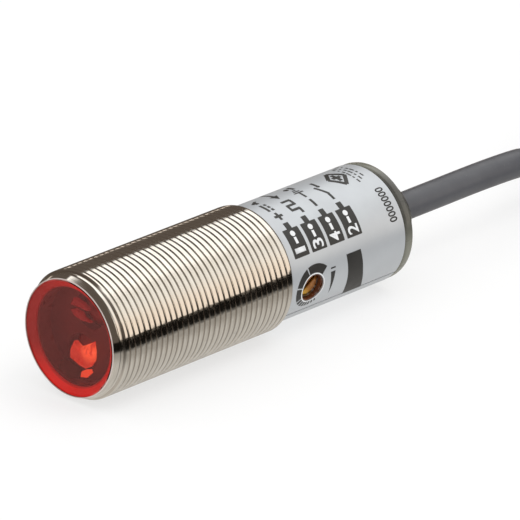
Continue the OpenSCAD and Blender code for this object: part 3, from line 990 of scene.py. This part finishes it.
def wrapPrint(parts, name, top, look):
    # cuts the flat print across every few degrees, lays it round the barrel and gives it a thickness
    plan = labelPlan
    ink = joinAll(parts, name)
    step = arcOf(plan["step"])
    ys = [vertex.co.y / mm for vertex in ink.data.vertices]
    line = math.ceil(min(ys) / step) * step
    while line < max(ys):
        editAll(ink)
        bpy.ops.mesh.bisect(plane_co=(0, line * mm, 0), plane_no=(0, 1, 0))
        leaveEdit()
        line += step
    for vertex in ink.data.vertices:
        turn = vertex.co.y / mm / plan["wrap"]
        vertex.co = (top * mm * math.cos(turn), vertex.co.x, axisHeight + top * mm * math.sin(turn))
    editFaces(ink, lambda centre, normal: outwards(centre, normal) < 0)
    bpy.ops.mesh.flip_normals()
    leaveEdit()
    addModifier(ink, "SOLIDIFY", thickness=plan["printThick"] * mm, offset=-1)
    return settle(ink, "silver_label", material=materials[look])


# four terminal boxes, the signs beside them, a dial round the adjuster and a beam sign by the cap
printPlan = {"boxX": [5.55, 8.98, 12.4, 15.83], "boxWide": 2.87, "boxLow": 21.5, "boxHigh": 50.5,
    "tabWide": 0.95, "tabHigh": 57.5, "digits": "1342", "digitTall": 1.95, "digitWide": 1.3,
    "signFrom": 62.0, "stroke": 0.44}


def printBoxes():
    plan = printPlan
    low, high, tab = arcOf(plan["boxLow"]), arcOf(plan["boxHigh"]), arcOf(plan["tabHigh"])
    ink, white = [], []
    for x, digit in zip(plan["boxX"], plan["digits"]):
        ink.append(flatBar(x, (low + high) / 2, plan["boxWide"], high - low, 0.12))
        ink.append(flatBar(x, (high + tab) / 2 - 0.1, plan["tabWide"], tab - high + 0.2))
        wide = plan["digitWide"] * (0.55 if digit == "1" else 1)
        white.append(flatText(digit, x, low + 0.98, plan["digitTall"], wide))
        white.append(flatBar(x, low + 2.4, 0.46, 0.95))
        white.append(flatDot(x, low + 3.45, 0.42))
    return ink, white


def printSigns():
    # plus and direct current, square wave with an arrow, minus and earth, and a switch contact
    plan = printPlan
    stroke = plan["stroke"]
    rows, start = plan["boxX"], arcOf(plan["signFrom"])
    ink = [flatBar(rows[0], start + 0.7, 1.5, stroke), flatBar(rows[0], start + 0.7, stroke, 1.5)]
    ink += [flatBar(rows[0] - 0.35, start + 3.0, stroke, 2.0)]
    ink += [flatBar(rows[0] + 0.4, start + 3.0 + shift, stroke, 0.5) for shift in (-0.75, 0, 0.75)]
    ink += [flatBar(rows[0], start + 5.4, 1.5, stroke, turn=35),
        flatBar(rows[0], start + 4.9, 0.6, 0.6, 0.1)]
    wave = [(0.7, 0.3, stroke, 0.9), (0.0, 0.75, 1.7, stroke), (-0.7, 1.25, stroke, 1.2),
        (0.0, 1.75, 1.7, stroke), (0.7, 2.25, stroke, 1.2), (0.0, 2.8, 1.7, stroke)]
    ink += [flatBar(rows[1] + x, start + y, wide, tall) for x, y, wide, tall in wave]
    tip = arcOf(88)
    ink.append(flatShape([(rows[1], tip), (rows[1] - 0.7, tip + 1.3), (rows[1] + 0.7, tip + 1.3)]))
    ink.append(flatBar(rows[1], tip + 2.5, 0.42, 2.6))
    ink += [flatBar(rows[2], start + 0.75, stroke, 1.5), flatBar(rows[2], start + 2.8, 0.36, 1.4)]
    ink += [flatBar(rows[2], start + 3.6 + 0.45 * i, 1.7 - 0.55 * i, 0.26) for i in range(3)]
    ink += [flatBar(rows[2] - 0.4, start + 5.6, 0.8, 0.8, 0.39),
        flatBar(rows[2] + 0.5, start + 5.6, 0.5, 1.4)]
    ink += [flatBar(rows[3], start + 0.6, stroke, 1.2), flatBar(rows[3], start + 4.0, stroke, 1.4)]
    ink += [flatBar(rows[3] - 0.35, start + 2.2, stroke, 2.3, turn=24), flatDot(rows[3], start + 3.3, 0.3)]
    return ink


def printDial():
    # sectors that grow narrower round the adjuster, with a wedge beside them
    x, y = labelPlan["adjuster"], arcOf(math.degrees(adjusterAngle))
    white = [flatArc(x, y, 2.07, 2.24, 0, 180), flatArc(x, y, 2.07, 2.24, 180, 360)]
    edges = [(45, 108), (112, 164), (168, 208), (213, 224), (229, 238), (243, 251), (256, 263), (268, 275),
        (281, 287), (293, 298)]
    ink = []
    for start, end in edges:
        reach = [3.62 - 0.75 * (angle - 45) / 255 for angle in (start, end)]
        ink.append(flatArc(x, y, 2.26, reach[0], start, end, reach[1]))
    ink.append(flatShape([(x + 3.75, arcOf(-28)), (x + 4.2, arcOf(-3)), (x + 3.3, arcOf(-3))]))
    ink.append(flatBar(x + 3.75, arcOf(0.5), 0.9, 0.22))
    return ink, white


def printBack():
    # a band under the barrel, a beam sign and three lines of dashes by the cap, and a row of noughts
    ink = [flatShape([(13.6, arcOf(8)), (16.4, arcOf(8)), (17.1, arcOf(-15)), (17.8, arcOf(-30)),
        (18.5, arcOf(-41)), (14.8, arcOf(-41)), (14.4, arcOf(-30)), (14.1, arcOf(-15))])]
    middle = arcOf(87)
    for side in (-1, 1):
        for end in (-1, 1):
            ink.append(flatBar(19.9 + side * 0.78, middle + end * 1.0, 0.6, 2.6, turn=side * end * 38))
    ink += [flatBar(19.9, middle, 0.6, 2.0), flatBar(19.9, middle, 1.5, 0.6)]
    for row in range(3):
        for i, long in enumerate((0.9, 0.5, 1.1, 0.7, 0.4, 0.9)):
            ink.append(flatBar(22.0 + 0.75 * row, arcOf(72 + 6.4 * i + 3 * row), 0.26, long * 0.8))
    ink.append(flatText("0000000", 23.55, arcOf(38.5), 1.45, 5.3))
    return ink


def buildPrint():
    boxInk, boxWhite = printBoxes()
    dialInk, dialWhite = printDial()
    wrapPrint(boxInk + printSigns() + dialInk + printBack(), "label_print", labelPlan["inkTop"],
        "label_ink")
    wrapPrint(boxWhite + dialWhite, "label_figures", labelPlan["whiteTop"], "label_white")


buildLabel()
print("label laid")
buildPrint()
print("label printed")


adjusterPlan = {"rotor": 1.72, "low": 4.43, "top": 7.6, "dishWall": 0.2, "dish": 0.3, "slotWide": 0.62,
    "slotDeep": 0.95, "slotTurn": 40.0, "collarIn": 1.8, "collarOut": 2.05, "collarLow": 6.2,
    "collarTop": 8.05}


def turnedHere(name, outline, steps=72):
    # outline: (radius, height) about the adjuster's axis, its height measured from the sensor's axis
    ring = drawOutline(name, [(radius * mm, 0, height * mm) for radius, height in outline],
        outline[0][0] > 0)
    editAll(ring)
    bpy.ops.mesh.spin(steps=steps, angle=math.tau, center=(0, 0, 0), axis=(0, 0, 1))
    leaveEdit()
    tidyMesh(ring)
    placeIn(ring, onAdjuster())
    return ring


def buildAdjuster():
    plan = adjusterPlan
    top, radius = plan["top"], plan["rotor"]
    rotor = turnedHere("adjuster_screw", [(0, plan["low"]), (radius, plan["low"]), (radius, top - 0.1),
        (radius - 0.08, top), (radius - plan["dishWall"], top),
        (radius - plan["dishWall"] - 0.12, top - plan["dish"]), (0, top - plan["dish"])])
    cutter = onAdjuster() @ Matrix.Rotation(math.radians(plan["slotTurn"]), 4, "Z")
    cutter @= Matrix.Translation((0, 0, (top - plan["slotDeep"] + 1.5) * mm))
    cutAway(rotor, addBlock((10, plan["slotWide"], 3), cutter))
    softenEdges(rotor, 0.04 * mm, 2, 40)
    smoothOver(rotor, 35)
    settle(rotor, "amber_rotor", "adjuster_rotor", material=amberRotor(), body="adjuster")
    inner, outer = plan["collarIn"], plan["collarOut"]
    collar = turnedHere("adjuster_rim", [(inner, plan["collarLow"]), (outer, plan["collarLow"]),
        (outer, plan["collarTop"] - 0.06), (outer - 0.06, plan["collarTop"]),
        (inner + 0.08, plan["collarTop"]), (inner, plan["collarTop"] - 0.12)])
    smoothOver(collar, 35)
    settle(collar, "amber_collar", "adjuster_collar")


def amberRotor():
    # clear amber moulding with a painted highlight, yellow towards the bottom and the lens, and painted shade,
    # nearly black down in the slot and on the raised rim
    look = {"amber": (0.36, 0.13, 0.01), "deep": (0.17, 0.045, 0.005), "gold": (0.66, 0.36, 0.02),
        "slot": (0.018, 0.005, 0.003)}
    material, tree, shader, coords = newMaterial("amber_screw")
    radius = placeGroup(tree, "fromAxis", coords).outputs["Radius"]
    place = splitVector(tree, coords)
    mask = cloudy(tree, coords, 700)
    down = mathNode(tree, "SUBTRACT", adjusterAt.z, place["Z"])
    ahead = mathNode(tree, "SUBTRACT", adjusterAt.y, place["Y"])
    # painted highlight: gold towards the bottom and the lens
    corner = rangeNode(tree, plus(tree, down, ahead), 1.6 * mm, 3.6 * mm, soft=True)
    body = mixNode(tree, mask, look["amber"], look["deep"])
    body = mixNode(tree, corner, body, look["gold"])
    # painted shade: nearly black below the dish floor, in the slot, and on top of the raised rim, where the gap to
    # the collar lies in shade
    sunk = rangeNode(tree, radius, 7.22, 7.0, soft=True)
    raised = rangeNode(tree, radius, 7.40, 7.50, soft=True)
    dark = mathNode(tree, "MAXIMUM", sunk, times(tree, raised, 0.9))
    feed(shader, "Base Color", mixNode(tree, dark, body, look["slot"]))
    feed(shader, "Roughness", rangeNode(tree, mask, 0, 1, 0.18, 0.3))
    shader.inputs["Coat Weight"].default_value = 0.6
    shader.inputs["Coat Roughness"].default_value = 0.08
    return material


buildAdjuster()
print("adjuster built")


capPlan = {"end": 56.45, "flange": 8.3, "back": 58.1, "boss": 5.0, "bossEnd": 61.6, "bore": 7.25,
    "inner": 5.8, "sealStart": 55.05, "seal": 2.95, "lip": 2.42, "cable": 2.03, "sleeve": 2.25,
    "lipEnd": 62.75}


def buildCap():
    plan = capPlan
    plug = (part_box("rear_cap")[0].y - lensFace) / mm
    flange, back, boss, bossEnd = plan["flange"], plan["back"], plan["boss"], plan["bossEnd"]
    cap = turned("end_cap", [(plug, plan["inner"]), (plug, plan["bore"]), (plan["end"], plan["bore"]),
        (plan["end"], flange - 0.42), (plan["end"] + 0.08, flange - 0.2),
        (plan["end"] + 0.3, flange - 0.03), (plan["end"] + 0.5, flange), (back - 0.55, flange),
        (back - 0.3, flange - 0.06), (back - 0.1, flange - 0.25), (back, flange - 0.5),
        (back + 0.02, boss + 0.6), (back + 0.12, boss + 0.28), (back + 0.32, boss + 0.1),
        (back + 0.6, boss), (bossEnd - 0.9, boss), (bossEnd - 0.45, boss - 0.1),
        (bossEnd - 0.15, boss - 0.32), (bossEnd + 0.05, boss - 0.7), (bossEnd + 0.2, boss - 1.4),
        (bossEnd + 0.26, plan["lip"] + 0.12), (bossEnd + 0.2, plan["lip"] + 0.02),
        (bossEnd - 0.35, plan["lip"] + 0.02), (bossEnd - 0.4, plan["seal"] + 0.03),
        (plan["sealStart"], plan["seal"] + 0.03), (plan["sealStart"], plan["inner"])])
    smoothOver(cap, 40)
    settle(cap, "smoke_cap", "rear_cap")
    cable, seal, lipEnd = plan["cable"], plan["seal"], plan["lipEnd"]
    lip = turned("seal_lip", [(plan["sealStart"], cable), (plan["sealStart"], seal), (bossEnd - 0.45, seal),
        (bossEnd - 0.38, plan["lip"]), (bossEnd + 0.3, plan["lip"]), (bossEnd + 0.5, plan["sleeve"] + 0.05),
        (lipEnd - 0.12, plan["sleeve"]), (lipEnd, plan["sleeve"] - 0.08), (lipEnd, cable)], 72)
    smoothOver(lip, 40)
    return settle(lip, "seal_rubber", "cable_seal")


buildCap()
print("cap built")


tiePlan = {"halfWide": 8.3, "low": 1.0, "high": 25.05, "corner": 2.1, "thick": 0.72, "strap": 4.6,
    "groove": 0.25, "grooveEdge": 0.7, "headDeep": 3.2, "headTall": 5.4, "headWide": 5.2, "headZ": 12.5,
    "headSunk": 0.35, "mouth": 0.5, "mouthEdge": 0.6, "tail": 8.5, "tailWide": 3.6, "tailThick": 1.0,
    "tailFrom": 1.2, "tailLean": 1.6, "teeth": 15}


def buildTie():
    # a strap round the waist of the hank, its head at the side with the cut tail standing out of it
    plan = tiePlan
    x0, y0 = cablePlan["centreX"], cablePlan["centreY"]
    corners = [(plan["halfWide"], plan["high"], 0), (-plan["halfWide"], plan["high"], 90),
        (-plan["halfWide"], plan["low"], 180), (plan["halfWide"], plan["low"], 270)]
    points = []
    for wide, level, start in corners:
        x = wide - math.copysign(plan["corner"], wide)
        z = level + (plan["corner"] if level == plan["low"] else -plan["corner"])
        for i in range(9):
            turn = math.radians(start + i * 90 / 8)
            points.append(((x0 + x + plan["corner"] * math.cos(turn)) * mm, (y0 - plan["strap"] / 2) * mm,
                (z + plan["corner"] * math.sin(turn)) * mm))
    strap = drawOutline("tie_strap", points)
    editAll(strap)
    bpy.ops.mesh.extrude_region_move(TRANSFORM_OT_translate={"value": (0, plan["strap"] * mm, 0)})
    leaveEdit()
    middle = Vector((x0 * mm, y0 * mm, (plan["low"] + plan["high"]) / 2 * mm))
    if sum(face.normal.dot(face.center - middle) for face in strap.data.polygons) < 0:
        strap.data.flip_normals()
    addModifier(strap, "SOLIDIFY", thickness=plan["thick"] * mm, offset=1)
    editFaces(strap, lambda centre, normal: abs(normal.y) < 0.1 and normal.dot(centre - middle) > 0)
    bpy.ops.mesh.inset(thickness=plan["grooveEdge"] * mm, depth=-plan["groove"] * mm)
    leaveEdit()
    headX = x0 + plan["halfWide"] + plan["thick"] + plan["headDeep"] / 2 - plan["headSunk"]
    head = addBlock((plan["headDeep"], plan["headWide"], plan["headTall"]),
        Matrix.Translation((headX * mm, y0 * mm, plan["headZ"] * mm)))
    editFaces(head, lambda centre, normal: abs(normal.z) > 0.9)
    bpy.ops.mesh.inset(thickness=plan["mouthEdge"] * mm, depth=-plan["mouth"] * mm)
    leaveEdit()
    softenEdges(head, 0.3 * mm, 3)
    tailLow, long = plan["headZ"] + plan["tailFrom"], plan["tail"]
    tail = addBlock((plan["tailThick"], plan["tailWide"], long),
        Matrix.Translation((headX * mm, y0 * mm, (tailLow + long / 2) * mm)))
    editAll(tail)
    bpy.ops.mesh.subdivide(number_cuts=plan["teeth"] - 1)
    leaveEdit()
    for vertex in tail.data.vertices:
        rise = (vertex.co.z / mm - tailLow) / long
        vertex.co.x += plan["tailLean"] * mm * max(0, rise) ** 2
    editFaces(tail, lambda centre, normal: normal.x > 0.8 and abs(centre.y / mm - y0) < 1.3
        and int(centre.z / mm / long * plan["teeth"]) % 2 == 0)
    bpy.ops.mesh.inset(thickness=0.05 * mm, depth=-0.2 * mm)
    leaveEdit()
    tie = joinAll([strap, head, tail], "cable_tie")
    smoothOver(tie, 35)
    return settle(tie, "tie_black", "hank_tie")


# each core: (aside, over) at the sheath, then how far aside at its tip
leadPlan = {"from": 117.7, "to": 146.0, "radius": 0.6, "startZ": 23.25, "endZ": 25.15, "parts": 28,
    "tip": 5.5, "sunk": 0.3, "strand": 0.2, "twist": 0.19, "turns": 1.6, "tipParts": 32,
    "cores": {"brown": (-0.68, 0.7, -4.5), "blue": (-0.64, -0.7, -1.5), "black": (0.64, -0.7, 1.5),
    "white": (0.68, 0.7, 4.5)}}


def solidTube(name, points, radius, sides):
    pickOnly(drawTube(name, points, radius, sides))
    bpy.ops.object.convert(target="MESH")
    return lastMade()


def buildLeads():
    # four cores that rise over the top lap and spread, each ending in three twisted strands
    plan = leadPlan
    start = Vector((cablePlan["centreX"], plan["from"], plan["startZ"]))
    leads, strands = [], []
    for color, (aside, over, out) in plan["cores"].items():
        points = []
        for i in range(plan["parts"] + 1):
            share = i / plan["parts"]
            swing = smoothStep(share)
            rise = over * (1 - swing) + (plan["endZ"] - plan["startZ"]) * swing
            points.append(start + Vector((aside + (out - aside) * swing,
                (plan["to"] - plan["from"]) * share, rise)))
        core = solidTube("core_" + color, points, plan["radius"], 4)
        tidyMesh(core, 1e-8)
        smoothOver(core, 40)
        leads.append(settle(core, "core_" + color, "lead_" + color))
        for strand in range(3):
            helix = []
            for i in range(plan["tipParts"] + 1):
                share = i / plan["tipParts"]
                angle = math.tau * (strand / 3 + plan["turns"] * share)
                helix.append(points[-1] + Vector((plan["twist"] * math.cos(angle),
                    plan["tip"] * share - plan["sunk"], plan["twist"] * math.sin(angle))))
            strands.append(solidTube("strand", helix, plan["strand"], 2))
    tips = joinAll(strands, "core_strands")
    tidyMesh(tips, 1e-8)
    smoothOver(tips, 50)
    leads.append(settle(tips, "tinned_copper", "lead_tips"))
    return leads


cableTie = buildTie()
leads = buildLeads()
print("tie and leads built")


studioPlan = {"floorSize": 6.0, "floorColor": (0.31, 0.31, 0.31), "ambient": 1.0,
    "table": (0.37, 0.35, 0.32), "below": (0.60, 0.58, 0.545), "gap": (0.006, 0.005, 0.004),
    "cream": (1.02, 0.89, 0.76), "middle": (0.97, 0.94, 0.88), "white": (1.3, 1.28, 1.24),
    "dark": (0.105, 0.085, 0.07), "floorGlow": 0.66}


def buildFloor():
    bpy.ops.mesh.primitive_plane_add(size=studioPlan["floorSize"])
    floor = lastMade("floor")
    material, tree, shader, coords = newMaterial("floor_paper")
    mask = cloudy(tree, coords, 60)
    pale = studioPlan["floorColor"]
    feed(shader, "Base Color", mixNode(tree, mask, pale, tuple(c * 0.985 for c in pale)))
    shader.inputs["Roughness"].default_value = 0.9
    shader.inputs["Emission Color"].default_value = (1, 1, 1, 1)
    shader.inputs["Emission Strength"].default_value = studioPlan["floorGlow"]
    floor.data.materials.append(material)
    floor.visible_glossy = False


def buildWorld():
    # what the metal mirrors: a bright tent above and behind, a dark gap at the horizon, a grey table below
    plan = studioPlan
    world = bpy.data.worlds.new("studio")
    bpy.context.scene.world = world
    world.use_nodes = True
    tree = world.node_tree
    background = tree.nodes["Background"]
    direction = tree.nodes.new("ShaderNodeTexCoord").outputs["Generated"]
    x, y, z = splitVector(tree, direction)
    turn = mathNode(tree, "ARCTAN2", z, x)
    notLeft = rangeNode(tree, turn, math.radians(141), math.radians(138), soft=True)
    behind = rangeNode(tree, y, 0.28, 0.36, soft=True)
    above = rangeNode(tree, z, -0.075, -0.045, soft=True)
    tent = times(tree, times(tree, notLeft, behind), above)
    low = times(tree, rangeNode(tree, z, 0.34, 0.26, soft=True), above)
    front = times(tree, low, rangeNode(tree, y, -0.75, -0.85, soft=True))
    high = times(tree, rangeNode(tree, y, -0.3, -0.38, soft=True),
        rangeNode(tree, y, -0.66, -0.6, soft=True))
    high = times(tree, high, times(tree, rangeNode(tree, z, 0.25, 0.35, soft=True),
        rangeNode(tree, x, -0.1, 0.1, soft=True)))
    bright = mathNode(tree, "MAXIMUM", mathNode(tree, "MAXIMUM", tent, front), high)
    table = rangeNode(tree, z, -0.31, -0.39, soft=True)
    side = times(tree, rangeNode(tree, z, -0.05, -0.09, soft=True),
        rangeNode(tree, x, -0.3, -0.1, soft=True))
    color = mixNode(tree, side, plan["dark"], plan["gap"])
    under = rangeNode(tree, z, -0.42, -0.68, soft=True)
    dim = rangeNode(tree, y, -0.4, -0.6, 1.0, 0.5, soft=True)
    table = times(tree, table, dim)
    color = mixNode(tree, table, color, mixNode(tree, under, plan["table"], plan["below"]))
    cloth = mixNode(tree, rangeNode(tree, turn, math.radians(8), math.radians(48), soft=True),
        plan["cream"], plan["middle"])
    cloth = mixNode(tree, rangeNode(tree, turn, math.radians(62), math.radians(82), soft=True), cloth,
        plan["white"])
    color = mixNode(tree, bright, color, cloth)
    path = tree.nodes.new("ShaderNodeLightPath")
    plainRay = plus(tree, path.outputs["Is Camera Ray"], path.outputs["Is Diffuse Ray"], clamp=True)
    tree.links.new(mixNode(tree, plainRay, color, (plan["ambient"],) * 3), background.inputs["Color"])


def buildLights():
    bpy.ops.object.light_add(type="AREA", location=(0.35, 0.25, 0.8))
    key = lastMade()
    key.data.size = 0.5
    key.data.energy = 2.0
    key.visible_glossy = False
    key.rotation_euler = (Vector((0, 0, 0)) - key.location).to_track_quat("-Z", "Y").to_euler()


buildFloor()
buildWorld()
buildLights()
bpy.context.scene.view_settings.view_transform = "Standard"
print("studio set")
